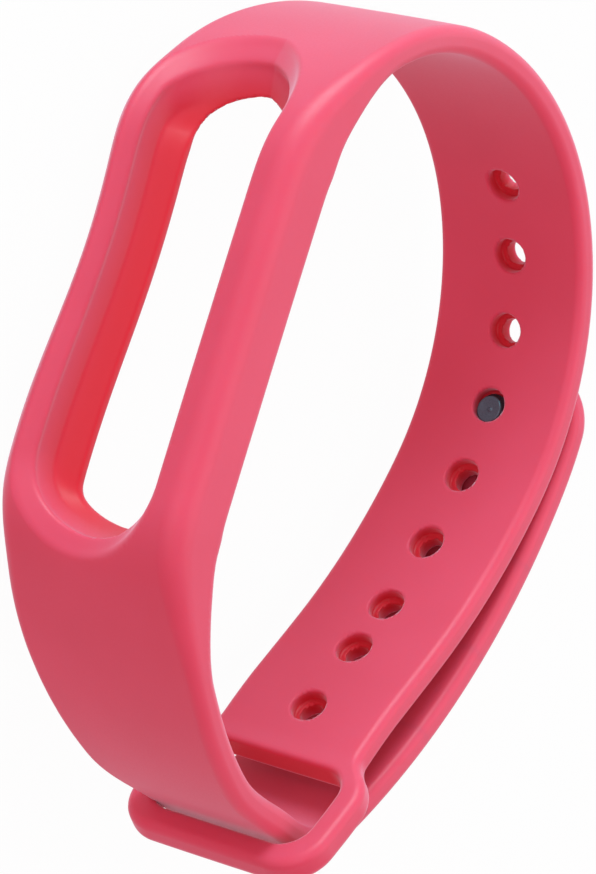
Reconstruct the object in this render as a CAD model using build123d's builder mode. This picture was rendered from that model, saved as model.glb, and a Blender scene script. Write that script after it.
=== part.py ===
from build123d import *
import os
from math import ceil, cos, sin

# Silicone wristband for a pebble-shaped fitness tracker, buckled, standing on its side edge.
# Millimetres. +Z is the axis of the ring, -Y the tracker side, and the origin is the middle of
# the wrist opening at the level of the lower edge. A place along the strap is a distance from
# the middle of the tracker frame over the outer surface: negative along the arm with the holes,
# positive along the arm with the tongue.

# Side view of the outer surface: tangent arcs (length, radius) that start at the frame's middle.
hole_side_arcs = [(13.3, 2000), (7.2, 11), (9.2, 33), (15.5, 25.4), (22, 24.8), (26, 27.2), (18, 55),
                  (26, 730)]
tongue_side_arcs = [(13.3, 2000), (6.4, 9.5), (12, 64), (11.5, 37), (8.4, 32), (8.8, 9.2),
                    (17.3, 60.5), (20, 61), (16, 27)]
frame_middle = (-1.6, -26.6)
mid_height = 10.4

# Strap sections
frame_width = 18.7
strap_width = 15.0
tongue_width = 14.4
frame_depth = 5.8
strap_thickness = 2.3
edge_radius = 0.6
frame_edge_radius = 1.6
hole_side_taper = (22.5, 47.5)
tongue_side_taper = (24.5, 53.0)
hole_side_thinning = (15.0, 30.0)
tongue_side_thinning = (15.0, 30.0)
station_pitch = 4.2

# Tracker seat: a mouth in the outer face, a groove for the tracker's rim, a mouth to the wrist
seat_place = -2.2
outer_mouth = (38.0, 11.2)
seat_groove = (40.0, 14.2)
wrist_mouth = (38.4, 10.4)
groove_depths = (1.5, 4.2)

# Buckle holes: wide on the wrist side, a neck towards the outside
hole_places = [-65.3 - 7.05 * i for i in range(7)] + [-112.7, -119.6]
hole_mouth_radius = 1.45
hole_neck_radius = 1.15
hole_mouth_depth = 1.1
buckled_hole = hole_places[3]

# Keeper loop at the end of the arm with the holes
loop_start = -121.8
loop_end = -136.5
loop_width = 20.8
loop_thickness = 2.6
slot_width = 15.8
slot_reach = (-125.0, -134.1)
loop_corner_radius = 4.4
slot_corner_radius = 1.6
loop_flare = 3.2
plate_end = (loop_start - loop_end) / 2

# Parts of the strap
shoulder_start = -28.0
hole_arm_start = -46.0
front_arm_start = 22.0
tongue_hinges = [58.0, 67.0, 76.0, 85.0, 94.0]
tongue_tip = 107.6
tip_corner_radius = 5.6

# Stud: a cap on the tongue and a pin through the buckled hole
stud_place = 102.2
cap_radius = 3.0
cap_thickness = 0.9
cap_edge_radius = 0.35
cap_recess_depth = 0.5
cap_clearance = 0.15
shank_radius = 1.2
shank_clearance = 0.06
pin_radius = 0.85
pin_head_radius = 1.05
pin_head_length = 0.5
pin_reach = 2.5


def smooth_step(value, start, end):
    t = min(max((value - start) / (end - start), 0.0), 1.0)
    return t * t * (3 - 2 * t)


def width_at(place):
    if place < 0:
        return frame_width + (strap_width - frame_width) * smooth_step(-place, *hole_side_taper)
    return frame_width + (tongue_width - frame_width) * smooth_step(place, *tongue_side_taper)


def thickness_at(place):
    thinning = hole_side_thinning if place < 0 else tongue_side_thinning
    return frame_depth + (strap_thickness - frame_depth) * smooth_step(abs(place), *thinning)


def edge_radius_at(place):
    thinning = hole_side_thinning if place < 0 else tongue_side_thinning
    return frame_edge_radius + (edge_radius - frame_edge_radius) * smooth_step(abs(place), *thinning)


def outer_point(place):
    """The outer surface in the side view: x, y and heading towards the tongue, in radians."""
    x, y, heading = 0.0, 0.0, 0.0
    left = abs(place)
    for length, radius in (tongue_side_arcs if place > 0 else hole_side_arcs):
        step = min(length, left)
        turn = step / radius
        chord = 2 * radius * sin(turn / 2)
        x += chord * cos(heading + turn / 2)
        y += chord * sin(heading + turn / 2)
        heading += turn
        left -= step
    if place < 0:
        x, heading = -x, -heading
    return frame_middle[0] + x, frame_middle[1] + y, heading


def plane_across(place, depth):
    """A plane across the strap, its X along the width and its Y outwards."""
    x, y, heading = outer_point(place)
    origin = (x - depth * sin(heading), y + depth * cos(heading), mid_height)
    return Plane(origin=origin, x_dir=(0, 0, 1), z_dir=(cos(heading), sin(heading), 0))


def plane_on(place, depth):
    """A plane along the strap at a depth under the outer surface, its Z outwards."""
    across = plane_across(place, depth)
    return Plane(origin=across.origin, x_dir=across.z_dir, z_dir=across.y_dir)


def strap_sections(start, end, width=width_at, thickness=thickness_at):
    """Sections across a stretch of strap, in order, ready to loft."""
    count = max(2, ceil(abs(end - start) / station_pitch))
    sections = []
    for i in range(count + 1):
        place = start + (end - start) * i / count
        with BuildSketch(plane_across(place, thickness(place) / 2)) as section:
            RectangleRounded(width(place), thickness(place), edge_radius_at(place))
        sections.append(section.sketch.face())
    return sections


# Tracker frame with its seat
with BuildPart() as tracker_frame:
    loft(strap_sections(shoulder_start, front_arm_start))
    openings = [(outer_mouth, -1.0, groove_depths[0]), (seat_groove, *groove_depths),
                (wrist_mouth, groove_depths[1], frame_depth + 3.0)]
    for size, top, bottom in openings:
        with BuildSketch(plane_on(seat_place, top)):
            SlotOverall(*size)
        extrude(amount=top - bottom, mode=Mode.SUBTRACT)

# Arm with the holes: the shoulder and the perforated strap
with BuildPart() as rear_shoulder:
    loft(strap_sections(hole_arm_start, shoulder_start))

with BuildPart() as hole_arm:
    loft(strap_sections(loop_start, hole_arm_start))
    for hole_place in hole_places:
        with BuildSketch(plane_on(hole_place, -1.0)):
            Circle(hole_neck_radius)
        extrude(amount=-strap_thickness - 2.0, mode=Mode.SUBTRACT)
        with BuildSketch(plane_on(hole_place, strap_thickness - hole_mouth_depth)):
            Circle(hole_mouth_radius)
        extrude(amount=-strap_thickness, mode=Mode.SUBTRACT)

# Keeper loop: a plate with rounded corners, cut from a wide stretch of strap
with BuildPart() as keeper_loop:
    loft(strap_sections(loop_end, loop_start, lambda place: loop_width + loop_thickness,
                        lambda place: loop_thickness))
    with BuildSketch(plane_on((loop_start + loop_end) / 2, -2.0)) as plate:
        with BuildLine():
            Polyline((plate_end, -strap_width / 2), (plate_end - loop_flare, -loop_width / 2),
                     (-plate_end, -loop_width / 2), (-plate_end, loop_width / 2),
                     (plate_end - loop_flare, loop_width / 2), (plate_end, strap_width / 2),
                     close=True)
        make_face()
        fillet(plate.vertices().group_by(Axis.X)[0], radius=loop_corner_radius)
    extrude(amount=-8.0, mode=Mode.INTERSECT)
    with BuildSketch(plane_on((slot_reach[0] + slot_reach[1]) / 2, -2.0)):
        RectangleRounded(slot_reach[0] - slot_reach[1], slot_width, slot_corner_radius)
    extrude(amount=-8.0, mode=Mode.SUBTRACT)

# Front arm, which goes out through the loop
with BuildPart() as front_arm:
    loft(strap_sections(front_arm_start, tongue_hinges[0]))

# The stud stands on the axis of the buckled hole, at the height of the tongue's cap recess
hole_x, hole_y, hole_heading = outer_point(buckled_hole)
tongue_x, tongue_y, tongue_heading = outer_point(stud_place)
tongue_rise = (tongue_x - hole_x) * sin(hole_heading) - (tongue_y - hole_y) * cos(hole_heading)
stud_plane = plane_on(buckled_hole, cap_recess_depth - tongue_rise)

# Tongue links: the free end of the strap, hinged where it bends
tongue_ends = tongue_hinges[1:] + [tongue_tip]
tongue_links = []
for start, end in zip(tongue_hinges, tongue_ends):
    with BuildPart() as link:
        loft(strap_sections(start, end))
        if end == tongue_tip:
            with BuildSketch(plane_on((start + end) / 2, -2.0)) as outline:
                Rectangle(end - start, tongue_width)
                fillet(outline.vertices().group_by(Axis.X)[-1], radius=tip_corner_radius)
            extrude(amount=-8.0, mode=Mode.INTERSECT)
            with BuildSketch(stud_plane):
                Circle(shank_radius + shank_clearance)
            extrude(amount=-strap_thickness, mode=Mode.SUBTRACT)
            with BuildSketch(stud_plane):
                Circle(cap_radius + cap_clearance)
            extrude(amount=strap_thickness, mode=Mode.SUBTRACT)
    tongue_links.append(link)

# Stud: both pieces are turned about the pin's axis
with BuildPart() as stud_cap:
    with BuildSketch(stud_plane):
        Circle(cap_radius)
    extrude(amount=cap_thickness)
    fillet(stud_cap.faces().sort_by(SortBy.AREA)[-1].edges(), radius=cap_edge_radius)

with BuildPart() as stud_pin:
    shank_length = strap_thickness - cap_recess_depth
    pin_steps = [(shank_radius, 0.0, shank_length), (pin_radius, shank_length, shank_length + pin_reach),
                 (pin_head_radius, shank_length + pin_reach - pin_head_length, shank_length + pin_reach)]
    for radius, top, bottom in pin_steps:
        with BuildSketch(stud_plane.offset(-top)):
            Circle(radius)
        extrude(amount=top - bottom)

pieces = {"tracker_frame": tracker_frame, "rear_shoulder": rear_shoulder, "hole_arm": hole_arm,
          "keeper_loop": keeper_loop, "front_arm": front_arm, "stud_cap": stud_cap,
          "stud_pin": stud_pin}
for number, link in enumerate(tongue_links, 1):
    pieces[f"tongue_link_{number}"] = link

os.makedirs("parts", exist_ok=True)
for name, piece in pieces.items():
    piece.part.label = name
    export_step(piece.part, f"parts/{name}.step")
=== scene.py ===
import math

import bmesh
import bpy
import numpy as np
from mathutils import Matrix, Vector


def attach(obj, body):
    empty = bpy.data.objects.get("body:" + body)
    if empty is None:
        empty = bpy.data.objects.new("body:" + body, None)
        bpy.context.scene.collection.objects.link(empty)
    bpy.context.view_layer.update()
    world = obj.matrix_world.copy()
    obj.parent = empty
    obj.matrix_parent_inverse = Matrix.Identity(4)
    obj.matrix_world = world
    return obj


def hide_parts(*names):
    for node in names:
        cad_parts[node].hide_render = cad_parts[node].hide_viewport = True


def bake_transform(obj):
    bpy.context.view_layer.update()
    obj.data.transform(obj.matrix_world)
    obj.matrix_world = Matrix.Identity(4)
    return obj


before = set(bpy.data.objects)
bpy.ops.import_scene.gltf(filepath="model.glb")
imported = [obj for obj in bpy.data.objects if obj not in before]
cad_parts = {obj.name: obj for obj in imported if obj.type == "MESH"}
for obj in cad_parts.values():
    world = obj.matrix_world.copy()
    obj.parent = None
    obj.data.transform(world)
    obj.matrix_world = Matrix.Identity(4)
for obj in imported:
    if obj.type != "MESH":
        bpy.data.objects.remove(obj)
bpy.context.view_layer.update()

# The looks of a silicone wristband. Sizes are millimetres until a mesh is made.
#
# The strap is described laid flat: a place along it (from the middle of the tracker frame over
# the outer surface, negative along the arm with the holes), a distance across it, and a depth
# under its outer surface. One field gives about the distance to its skin. A net of quads is fitted to
# that field, bent into the band's side view, and cut into pieces where the tongue's bodies change.
MM = 0.001

# Side view of the outer surface: tangent arcs (length, radius) that start at the frame's middle
hole_side_arcs = [(13.3, 2000), (7.2, 11), (9.2, 33), (15.5, 25.4), (22, 24.8), (26, 27.2), (18, 55),
                  (26, 730)]
tongue_side_arcs = [(13.3, 2000), (6.4, 9.5), (12, 64), (11.5, 37), (8.4, 32), (8.8, 9.2),
                    (17.3, 60.5), (20, 61), (16, 27)]
frame_middle = (-1.6, -26.6)
mid_height = 10.4
line_step = 0.05
corner_easing = 3.0

# Strap
frame_width, strap_width, tongue_width = 18.7, 15.0, 14.4
frame_depth, strap_thickness, loop_thickness = 5.8, 2.3, 2.6
hole_side_taper, tongue_side_taper = (22.5, 47.5), (24.5, 53.0)
thinning = (15.0, 30.0)
frame_crown, strap_crown, crown_middle = 0.22, 0.05, 0.7
frame_outer_edge, outer_edge, inner_edge = 2.0, 0.95, 0.8
tip_place, tip_corner = 107.6, 5.6

# Tracker seat at six depths: its far and near edges across, and its ends along the strap
seat_depths = (-0.3, 0.3, 1.1, 1.7, 3.6, 5.0)
seat_far = (-8.2, -7.6, -6.75, -6.95, -6.85, -5.1)
seat_near = (6.1, 5.9, 5.55, 7.0, 7.0, 5.2)
seat_hole_end = (-27.0, -26.5, -25.0, -24.9, -23.5, -22.9)
seat_tongue_end = (18.9, 18.4, 17.3, 17.8, 17.9, 17.9)
mouth_edge, seat_easing, seat_skew = 0.4, 0.35, 0.35
profile_reach, profile_step = (-1.5, 7.5), 0.02

# The soft rail under the opening swings in and out along its length
far_rail_sway, far_rail_wave, far_rail_calm, far_rail_ends = 0.67, 32.0, 2.0, (14.0, 24.0)

# Buckle holes
hole_places = np.array([-65.13 - 7.05 * i for i in range(7)] + [-112.6, -119.5])
hole_mouth_radius, hole_neck_radius, hole_mouth_depth = 1.58, 1.05, 1.1
hole_edge = 0.16

# Keeper loop
loop_start, loop_end, loop_width, loop_corner = -123.6, -135.7, 20.2, 3.9
slot_start, slot_end, slot_width, slot_corner = -125.0, -133.4, 15.8, 2.4
loop_fillet, slot_edge = 1.2, 0.5
ribbon_overlap, thickening_before, thickening_after = 2.0, 1, 3
loop_lean, loop_lean_reach = 0.8, (-117.0, -130.0)

# The front arm is pressed in where it goes through the loop
arm_press, arm_press_place, arm_press_reach = 0.75, 49.5, 8.5

# Stud seat in the tongue
stud_place, shank_hole_radius, cap_seat_radius, cap_seat_depth = 102.1, 1.26, 3.15, 0.5

# Stud: where it stands, and its outline (radius, height) from the cap's top to the end of the pin
stud_origin, stud_axis = (-6.399, 24.996, 10.4), (0.003444, 0.999994, 0)
# The thin flange near the pin's end (heights -3.66 to -3.84) makes the dark ring round it: partly the
# metal's own edge, partly a dark ring standing in for the shadow in the gap to the hole wall.
stud_profile = [(0, 0.90), (1.2, 0.90), (2.3, 0.86), (2.7, 0.78), (2.92, 0.60), (3.0, 0.38), (3.0, 0.06),
                (2.94, 0.0), (1.28, 0.0), (1.2, -0.06), (1.2, -1.72), (1.12, -1.8), (0.90, -1.8),
                (0.85, -1.86), (0.85, -3.6), (1.0, -3.66), (1.42, -3.66), (1.46, -3.72), (1.44, -3.8),
                (1.22, -3.84), (1.2, -4.2), (1.15, -4.32), (1.04, -4.36), (0.9, -4.32), (0.66, -4.22),
                (0.34, -4.14), (0.20, -4.14), (0.17, -4.2), (0.10, -4.23), (0, -4.23)]
stud_facets = 96

# Tongue: its hinges and the cuts in the skin. The first cut is in the front arm, and the others are in the
# middle of the first four links.
hinge_places = [58.0 + 9.0 * i for i in range(5)]
skin_cuts = [54.0] + [(hinge + after) / 2 for hinge, after in zip(hinge_places, hinge_places[1:])]

# Grid for the skin: stretches of (start, end, pitch), finer where the shape is finer
cut_pitch, tip_start, tip_margin, tip_pitch = 0.5, 97.5, 0.6, 0.27
grid_along = [(-136.8, -119.9, 0.27), (-119.9, -60.6, 0.3), (-60.6, -28.5, 0.55), (-28.5, -16.0, 0.2),
              (-16.0, -9.0, 0.3), (-9.0, 9.0, 0.6), (9.0, 21.5, 0.3),
              (21.5, skin_cuts[0] - cut_pitch / 2, 0.55)]
grid_across = [(0, 1.9, 0.27), (1.9, 5.0, 0.44), (5.0, 10.8, 0.26)]
grid_depth = [(-0.45, 6.45, 0.26)]

# Fit of the skin to the field: rounds, the longest move in one, and reaches for slopes and normals
fit_rounds, longest_move, least_slope = 4, 0.12, 0.05
slope_reach, normal_reach = 0.02, 0.04


def smooth_step(value, start, end):
    t = np.clip((value - start) / (end - start), 0.0, 1.0)
    return t * t * (3 - 2 * t)


def common(a, b, radius):
    """What two solids share, its edges rounded."""
    corner = np.hypot(np.maximum(a + radius, 0), np.maximum(b + radius, 0))
    return np.minimum(np.maximum(a, b), -radius) + corner


def joined(a, b, radius):
    """Two solids joined, with a fillet between them."""
    return -common(-a, -b, radius)


def rounded_box(x, y, half_x, half_y, corner):
    qx, qy = np.abs(x) - half_x + corner, np.abs(y) - half_y + corner
    return np.hypot(np.maximum(qx, 0), np.maximum(qy, 0)) + np.minimum(np.maximum(qx, qy), 0) - corner


def side_view():
    """Places along the outer surface with x, y, heading and bend there, the bend's steps eased."""
    reach = [sum(length for length, radius in arcs) for arcs in (hole_side_arcs, tongue_side_arcs)]
    place = np.arange(-reach[0], reach[1], line_step)
    bend = np.zeros_like(place)
    for arcs, side in ((hole_side_arcs, -1), (tongue_side_arcs, 1)):
        ends = np.cumsum([length for length, radius in arcs])
        mine = place * side >= 0
        which = np.searchsorted(ends, np.abs(place[mine])).clip(max=len(arcs) - 1)
        bend[mine] = (1 / np.array([radius for length, radius in arcs]))[which]
    span = int(corner_easing / line_step)
    padded = np.pad(bend, span, mode="edge")
    window = np.hanning(2 * span + 1)
    bend = np.convolve(padded, window / window.sum(), mode="valid")
    start = np.argmin(np.abs(place))
    heading = np.cumsum(bend) * line_step
    heading -= heading[start]
    x, y = np.cumsum(np.cos(heading)) * line_step, np.cumsum(np.sin(heading)) * line_step
    return place, x - x[start] + frame_middle[0], y - y[start] + frame_middle[1], heading, bend


LINE = side_view()


def bent(place, across, depth):
    """Points of the flat strap where they lie on the band, in the row frame, in millimetres."""
    sway = np.sin(2 * np.pi * (place - far_rail_calm) / far_rail_wave)
    held = 1 - smooth_step(np.abs(place), *far_rail_ends)
    across = across + loop_lean * smooth_step(-place, -loop_lean_reach[0], -loop_lean_reach[1])
    depth = depth - far_rail_sway * sway * held * np.clip(-2 * across / frame_width, 0, 1)
    depth = depth + arm_press * (1 - smooth_step(np.abs(place - arm_press_place), 0, arm_press_reach))
    x, y, heading = (np.interp(place, LINE[0], LINE[i]) for i in (1, 2, 3))
    return np.stack([x - depth * np.sin(heading), y + depth * np.cos(heading), mid_height + across], -1)


def bent_normals(place, depth, normals):
    """Normals of the flat strap turned with it."""
    heading, bend = np.interp(place, LINE[0], LINE[3]), np.interp(place, LINE[0], LINE[4])
    along = normals[:, 0] / (1 - bend * depth)
    turned = np.stack([along * np.cos(heading) - normals[:, 2] * np.sin(heading),
                       along * np.sin(heading) + normals[:, 2] * np.cos(heading), normals[:, 1]], -1)
    return turned / np.linalg.norm(turned, axis=1, keepdims=True)


def width_at(place):
    rear = frame_width + (strap_width - frame_width) * smooth_step(-place, *hole_side_taper)
    front = frame_width + (tongue_width - frame_width) * smooth_step(place, *tongue_side_taper)
    return np.where(place < 0, rear, front)


def thickness_at(place):
    strap = frame_depth + (strap_thickness - frame_depth) * smooth_step(np.abs(place), *thinning)
    share = smooth_step(-place, -loop_start - thickening_before, -loop_start + thickening_after)
    return strap + (loop_thickness - strap_thickness) * share


def eased(depths, edges):
    """A profile over depth with its corners eased, as two rows to interpolate in."""
    fine = np.arange(*profile_reach, profile_step)
    window = np.hanning(2 * round(seat_easing / profile_step) + 1)
    sharp = np.pad(np.interp(fine, depths, edges), len(window) // 2, mode="edge")
    return fine, np.convolve(sharp, window / window.sum(), mode="valid")


SEAT = [eased(seat_depths, edges) for edges in (seat_far, seat_near, seat_hole_end, seat_tongue_end)]


def seat_field(place, across, depth):
    """The opening for the tracker, a slot with round ends: a funnel, a groove and a lip to the wrist."""
    far, near, start, end = (np.interp(depth, *profile) for profile in SEAT)
    start = start + seat_skew * np.maximum(across, 0)
    half = (near - far) / 2
    beyond = np.abs(place - (start + end) / 2) - (end - start) / 2 + half
    return np.hypot(np.maximum(beyond, 0), across - (near + far) / 2) - half


def holes_field(place, across, depth, thickness):
    nearest = hole_places[np.abs(place[..., None] - hole_places).argmin(-1)]
    away = np.hypot(place - nearest, across)
    mouth = common(away - hole_mouth_radius, thickness - hole_mouth_depth - depth, hole_edge)
    return np.minimum(away - hole_neck_radius, mouth)


def strap_field(place, across, depth):
    """About the distance to the skin of the flat strap, negative inside it."""
    width, thickness = width_at(place), thickness_at(place)
    crown = strap_crown + (frame_crown - strap_crown) * (1 - smooth_step(np.abs(place), *thinning))
    top = crown * ((2 * across / width) ** 2 - crown_middle) - depth
    plate = rounded_box(place - (loop_start + loop_end) / 2, across, (loop_start - loop_end) / 2,
                        loop_width / 2, loop_corner)
    ribbon = np.maximum(np.abs(across) - width / 2, loop_start - ribbon_overlap - place)
    outline = joined(ribbon, plate, loop_fillet)
    outline = common(outline, place - tip_place, tip_corner)
    edge = frame_outer_edge + (outer_edge - frame_outer_edge) * smooth_step(np.abs(place), *thinning)
    body = common(common(outline, top, edge), depth - thickness, inner_edge)
    body = common(body, -seat_field(place, across, depth), mouth_edge)
    body = common(body, -holes_field(place, across, depth, thickness), hole_edge)
    slot = rounded_box(place - (slot_start + slot_end) / 2, across, (slot_start - slot_end) / 2,
                       slot_width / 2, slot_corner)
    body = common(body, -slot, slot_edge)
    from_stud = np.hypot(place - stud_place, across)
    cap_seat = common(from_stud - cap_seat_radius, depth - cap_seat_depth, hole_edge)
    return common(body, -np.minimum(from_stud - shank_hole_radius, cap_seat), hole_edge)


def gradient(points, reach):
    """The field's slope along the three axes, measured over a reach to each side."""
    parts = []
    for axis in range(3):
        shift = np.zeros(3)
        shift[axis] = reach
        parts.append((strap_field(*(points + shift).T) - strap_field(*(points - shift).T)) / (2 * reach))
    return np.stack(parts, -1)


def grid_lines(stretches):
    """Grid lines over stretches of (start, end, pitch)."""
    lines = [np.linspace(start, end, max(2, round((end - start) / pitch) + 1))[:-1]
             for start, end, pitch in stretches]
    return np.concatenate(lines + [[stretches[-1][1]]])


def skin_net(axes):
    """Vertices and quads near the strap's skin: one vertex in each grid cell that the skin crosses."""
    value = strap_field(*np.meshgrid(*axes, indexing="ij"))
    inside = value < 0
    cells = np.array(value.shape) - 1
    total, count, quads = np.zeros((cells.prod(), 3)), np.zeros(cells.prod()), []
    for axis in range(3):
        low, high = [slice(None)] * 3, [slice(None)] * 3
        low[axis], high[axis] = slice(0, -1), slice(1, None)
        edge = np.argwhere(inside[tuple(low)] != inside[tuple(high)])
        step = np.zeros(3, int)
        step[axis] = 1
        a, b = value[tuple(edge.T)], value[tuple((edge + step).T)]
        point = np.stack([axes[i][edge[:, i]] for i in range(3)], -1)
        point[:, axis] += (axes[axis][edge[:, axis] + 1] - point[:, axis]) * a / (a - b)
        others = [i for i in range(3) if i != axis]
        corners = []
        for first, second in ((0, 0), (1, 0), (1, 1), (0, 1)):
            cell = edge.copy()
            cell[:, others[0]] -= first
            cell[:, others[1]] -= second
            flat = np.ravel_multi_index(tuple(cell.clip(0, cells - 1).T), cells)
            for i in range(3):
                total[:, i] += np.bincount(flat, point[:, i], len(total))
            count += np.bincount(flat, minlength=len(count))
            corners.append(flat)
        quad = np.stack(corners, -1)
        backwards = (a < 0) ^ (axis == 1)
        quad[backwards] = quad[backwards][:, ::-1]
        quads.append(quad)
    used = np.flatnonzero(count)
    number = np.full(len(count), -1)
    number[used] = np.arange(len(used))
    return total[used] / count[used, None], number[np.concatenate(quads)]


def fitted_skin():
    """The skin's net, its vertices moved onto the field's surface, with normals."""
    along = list(grid_along)
    for cut, after in zip(skin_cuts, skin_cuts[1:] + [tip_start]):
        along += [(cut - cut_pitch / 2, cut + cut_pitch / 2, cut_pitch),
                  (cut + cut_pitch / 2, after - cut_pitch / 2, cut_pitch)]
    along.append((tip_start - cut_pitch / 2, tip_place + tip_margin, tip_pitch))
    across = grid_lines(grid_across)
    axes = [grid_lines(along), np.concatenate([-across[:0:-1], across]), grid_lines(grid_depth)]
    points, quads = skin_net(axes)
    for _ in range(fit_rounds):
        slope = gradient(points, slope_reach)
        steepness = (slope ** 2).sum(1).clip(min=least_slope)
        move = (strap_field(*points.T) / steepness)[:, None] * slope
        points -= move.clip(-longest_move, longest_move)
    for cut in skin_cuts:
        points[np.abs(points[:, 0] - cut) < cut_pitch * 0.45, 0] = cut
    normals = gradient(points, normal_reach)
    return points, quads, normals / np.linalg.norm(normals, axis=1, keepdims=True).clip(min=1e-9)


def skin_piece(name, points, quads, normals, painted_shade):
    """One closed piece of the skin, with the strap's own smooth normals and its share of painted shade."""
    used, index = np.unique(quads, return_inverse=True)
    index = index.reshape(quads.shape)
    flat = points[used]
    mesh = bpy.data.meshes.new(name)
    mesh.from_pydata((bent(*flat.T) * MM).tolist(), [], index.tolist())
    mesh.polygons.foreach_set("use_smooth", np.ones(len(index), bool))
    strap = mesh.attributes.new("strap", "FLOAT_VECTOR", "POINT")
    strap.data.foreach_set("vector", flat.astype(np.float32).ravel())
    # Painted shade: how deep each point lies in a hole, the slot or the tracker seat.
    share = mesh.attributes.new("painted_shade", "FLOAT", "POINT")
    share.data.foreach_set("value", painted_shade[used].astype(np.float32))
    net = bmesh.new()
    net.from_mesh(mesh)
    open_edges = [e for e in net.edges if e.is_boundary]
    bmesh.ops.holes_fill(net, edges=open_edges, sides=0)
    net.to_mesh(mesh)
    net.free()
    turned = bent_normals(flat[:, 0], flat[:, 2], normals[used])
    loops = np.zeros(len(mesh.loops), int)
    mesh.loops.foreach_get("vertex_index", loops)
    loop_normals = turned[loops]
    for polygon in list(mesh.polygons)[len(index):]:
        polygon.use_smooth = False
        loop_normals[polygon.loop_start:polygon.loop_start + polygon.loop_total] = polygon.normal
    mesh.normals_split_custom_set(loop_normals.tolist())
    piece = bpy.data.objects.new(name, mesh)
    bpy.context.scene.collection.objects.link(piece)
    return piece


def painted_shade_share(points, thickness):
    """Painted shade: from 0 on the open skin to 1 deep in a hole, in the slot or in the tracker seat."""
    place, across, depth = points.T
    holes = 1 - smooth_step(holes_field(place, across, depth, thickness), 0.0, 0.35)
    seat = 1 - smooth_step(seat_field(place, across, depth), 0.0, 0.7)
    slot = 1 - smooth_step(rounded_box(place - (slot_start + slot_end) / 2, across,
                                       (slot_start - slot_end) / 2, slot_width / 2, slot_corner), 0.0, 0.6)
    middle = np.minimum(depth, thickness - depth)
    return np.maximum(smooth_step(middle, 0.1, 0.7) * np.maximum(holes, slot),
                      smooth_step(depth, 0.6, 4.5) * seat)


def turned_piece(name, profile, origin, axis):
    """A closed solid of revolution from (radius, height) points that start and end on the axis."""
    angles = np.linspace(0, 2 * np.pi, stud_facets, endpoint=False)
    radius, height = np.array(profile[1:-1]).T
    ring = np.stack([radius[:, None] * np.cos(angles), radius[:, None] * np.sin(angles),
                     height[:, None] + 0 * angles], -1).reshape(-1, 3)
    points = np.concatenate([ring, [[0, 0, profile[0][1]], [0, 0, profile[-1][1]]]])
    faces, last = [], len(radius) - 1
    for i in range(stud_facets):
        j = (i + 1) % stud_facets
        for low in range(0, last * stud_facets, stud_facets):
            high = low + stud_facets
            faces.append((low + i, low + j, high + j, high + i))
        bottom = last * stud_facets
        faces += [(len(ring), j, i), (len(ring) + 1, bottom + i, bottom + j)]
    mesh = bpy.data.meshes.new(name)
    turn = Vector(axis).to_track_quat("Z", "Y").to_matrix()
    mesh.from_pydata([(Vector(origin) + turn @ Vector(p)) * MM for p in points.tolist()], [], faces)
    net = bmesh.new()
    net.from_mesh(mesh)
    bmesh.ops.recalc_face_normals(net, faces=net.faces)
    net.to_mesh(mesh)
    net.free()
    mesh.polygons.foreach_set("use_smooth", np.ones(len(mesh.polygons), bool))
    piece = bpy.data.objects.new(name, mesh)
    bpy.context.scene.collection.objects.link(piece)
    return piece


def material(name):
    made = bpy.data.materials.new(name)
    made.use_nodes = True
    return made, made.node_tree.nodes, made.node_tree.links, made.node_tree.nodes["Principled BSDF"]


def noise(nodes, links, source, scale, detail):
    node = nodes.new("ShaderNodeTexNoise")
    node.inputs["Scale"].default_value = scale
    node.inputs["Detail"].default_value = detail
    links.new(source, node.inputs["Vector"])
    return node.outputs["Fac"]


def ramp(nodes, links, source, stops):
    node = nodes.new("ShaderNodeValToRGB")
    for stop, (at, colour) in zip(node.color_ramp.elements, stops):
        stop.position, stop.color = at, (*colour, 1)
    links.new(source, node.inputs["Fac"])
    return node.outputs["Color"]


def bump(nodes, links, source, shader, strength, distance):
    node = nodes.new("ShaderNodeBump")
    node.inputs["Strength"].default_value = strength
    node.inputs["Distance"].default_value = distance
    links.new(source, node.inputs["Height"])
    links.new(node.outputs["Normal"], shader.inputs["Normal"])


def silicone():
    """Coral silicone with a faint grain, and painted shade that makes it redder and darker in the holes,
    the slot and the tracker seat.
    """
    made, nodes, links, shader = material("coral silicone")
    strap = nodes.new("ShaderNodeAttribute")
    strap.attribute_name = "strap"
    # The attribute read here is painted shade: how deep a point lies in a hole, the slot or the seat.
    painted_shade = nodes.new("ShaderNodeAttribute")
    painted_shade.attribute_name = "painted_shade"
    cloud = noise(nodes, links, strap.outputs["Vector"], 0.09, 2.0)
    grain = noise(nodes, links, strap.outputs["Vector"], 5.0, 3.0)
    body = ramp(nodes, links, cloud, [(0.3, (0.68, 0.058, 0.116)), (0.7, (0.715, 0.066, 0.130))])
    # Painted shade: a darker, deeper red mixed in deep in the holes, the slot and the tracker seat.
    mix = nodes.new("ShaderNodeMix")
    mix.data_type = "RGBA"
    links.new(painted_shade.outputs["Fac"], mix.inputs["Factor"])
    links.new(body, mix.inputs["A"])
    mix.inputs["B"].default_value = (0.66, 0.012, 0.03, 1)
    links.new(mix.outputs["Result"], shader.inputs["Base Color"])
    rough = ramp(nodes, links, grain, [(0.25, (0.40, 0.40, 0.40)), (0.75, (0.52, 0.52, 0.52))])
    links.new(rough, shader.inputs["Roughness"])
    bump(nodes, links, grain, shader, 0.12, 0.02 * MM)
    shader.inputs["Sheen Weight"].default_value = 0.5
    shader.inputs["Sheen Roughness"].default_value = 0.45
    shader.inputs["Sheen Tint"].default_value = (0.95, 0.85, 1.0, 1)
    shader.inputs["Specular IOR Level"].default_value = 0.35
    shader.inputs["Subsurface Weight"].default_value = 0.3
    shader.inputs["Subsurface Radius"].default_value = (1.0, 0.2, 0.2)
    shader.inputs["Subsurface Scale"].default_value = 1.2 * MM
    return made


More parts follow.
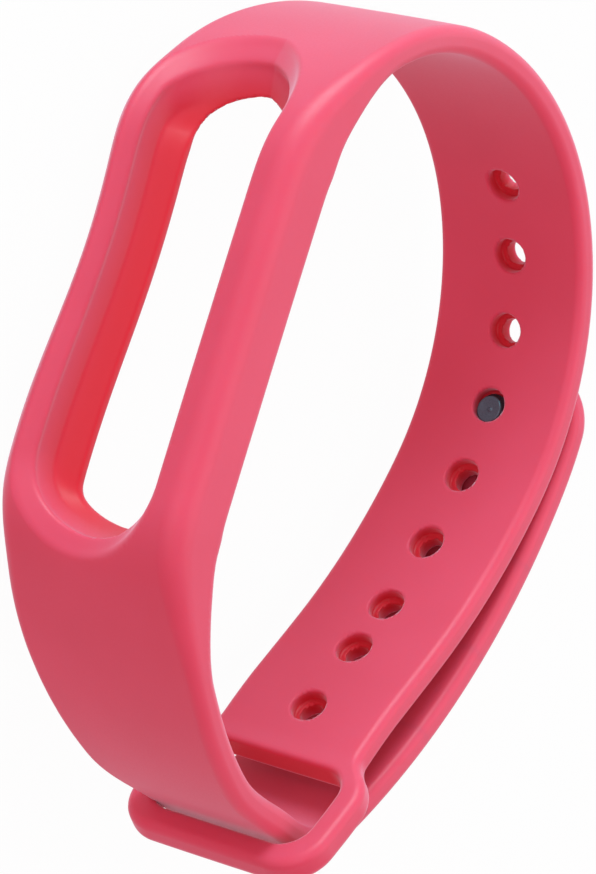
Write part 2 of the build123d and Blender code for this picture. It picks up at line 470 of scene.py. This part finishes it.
def stud_metal():
    """Dark blue-grey metal with fine speckles."""
    made, nodes, links, shader = material("dark stud metal")
    place = nodes.new("ShaderNodeTexCoord")
    speckle = noise(nodes, links, place.outputs["Object"], 9000.0, 4.0)
    tone = ramp(nodes, links, speckle, [(0.3, (0.075, 0.11, 0.14)), (0.7, (0.11, 0.155, 0.195))])
    links.new(tone, shader.inputs["Base Color"])
    bump(nodes, links, speckle, shader, 0.25, 0.01 * MM)
    shader.inputs["Metallic"].default_value = 0.75
    shader.inputs["Roughness"].default_value = 0.42
    return made


# The strap's skin
skin_points, skin_quads, skin_normals = fitted_skin()
# How much painted shade each point of the skin gets, deep in holes, the slot and the seat.
skin_painted_shade = painted_shade_share(skin_points, thickness_at(skin_points[:, 0]))
skin_material = silicone()
piece_of_quad = np.searchsorted(skin_cuts, skin_points[skin_quads, 0].mean(1))
bodies = ["strap_ring"] + [f"tongue_{number}" for number in range(1, 6)]
for number, body in enumerate(bodies):
    name = "band_ring" if number == 0 else f"band_tongue_{number}"
    piece = skin_piece(name, skin_points, skin_quads[piece_of_quad == number], skin_normals, skin_painted_shade)
    piece.data.materials.append(skin_material)
    if number == 0:
        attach(piece, body)
        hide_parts("tracker_frame", "rear_shoulder", "hole_arm", "keeper_loop", "front_arm")
    else:
        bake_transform(piece)
        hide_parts(f"tongue_link_{number}")

# The stud: cap, shank and pin turned about one axis
stud = turned_piece("stud_button", stud_profile, stud_origin, stud_axis)
stud.data.materials.append(stud_metal())
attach(stud, "stud")
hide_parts("stud_cap", "stud_pin")

# Floor, lights and camera, in metres. The floor glows white and is hidden from the band's bounce
# light and reflections.
floor_mesh = bpy.data.meshes.new("floor")
floor_mesh.from_pydata([(-3, -3, 0), (3, -3, 0), (3, 3, 0), (-3, 3, 0)], [], [(0, 1, 2, 3)])
floor = bpy.data.objects.new("floor", floor_mesh)
bpy.context.scene.collection.objects.link(floor)
floor_material, _, _, floor_shader = material("pale floor")
floor_shader.inputs["Base Color"].default_value = (0.02, 0.02, 0.02, 1)
floor_shader.inputs["Roughness"].default_value = 0.9
floor_shader.inputs["Specular IOR Level"].default_value = 0.0
floor_shader.inputs["Emission Color"].default_value = (1, 1, 1, 1)
floor_shader.inputs["Emission Strength"].default_value = 0.97
floor_mesh.materials.append(floor_material)
floor.visible_diffuse = False
floor.visible_glossy = False

world = bpy.data.worlds.new("studio")
bpy.context.scene.world = world
world.use_nodes = True
world.node_tree.nodes["Background"].inputs["Color"].default_value = (1, 0.60, 0.66, 1)
world.node_tree.nodes["Background"].inputs["Strength"].default_value = 0.72

camera_aim = Vector((2.04, -3.60, 10.4)) * MM
camera_distance, camera_lens = 342.6 * MM, 175.95
azimuth, elevation, roll = math.radians(-84.72), math.radians(37.33), math.radians(103.85)
toward = Vector((math.cos(elevation) * math.cos(azimuth), math.cos(elevation) * math.sin(azimuth),
                 math.sin(elevation)))
level_up = Vector((-math.sin(elevation) * math.cos(azimuth), -math.sin(elevation) * math.sin(azimuth),
                   math.cos(elevation)))
level_right = level_up.cross(toward)
right = math.cos(roll) * level_right + math.sin(roll) * level_up
up = math.cos(roll) * level_up - math.sin(roll) * level_right
camera_data = bpy.data.cameras.new("camera")
camera_data.lens = camera_lens
camera = bpy.data.objects.new("camera", camera_data)
bpy.context.scene.collection.objects.link(camera)
turn = Matrix((right, up, toward)).transposed().to_4x4()
camera.matrix_world = Matrix.Translation(camera_aim + toward * camera_distance) @ turn
bpy.context.scene.camera = camera


def soft_light(name, direction, distance, size, power, colour):
    """A round soft light that faces the band from a direction, in the camera's own axes."""
    data = bpy.data.lights.new(name, "AREA")
    data.shape = "DISK"
    data.size = size
    data.energy = power
    data.color = colour
    light = bpy.data.objects.new(name, data)
    bpy.context.scene.collection.objects.link(light)
    light.location = camera_aim + direction.normalized() * distance
    light.rotation_euler = direction.to_track_quat("Z", "Y").to_euler()


soft_light("key", up * 1.0 + toward * 0.4 + right * 0.2, 0.6, 0.4, 4.6, (0.5, 1.0, 1.0))
soft_light("fill", right * 1.0 + toward * 0.5 - up * 0.1, 0.7, 0.6, 1.5, (0.9, 1.0, 1.0))
soft_light("front", toward * 1.0 - right * 0.2, 0.8, 0.6, 1.1, (0.9, 1.0, 1.0))

bpy.context.scene.view_settings.view_transform = "Standard"
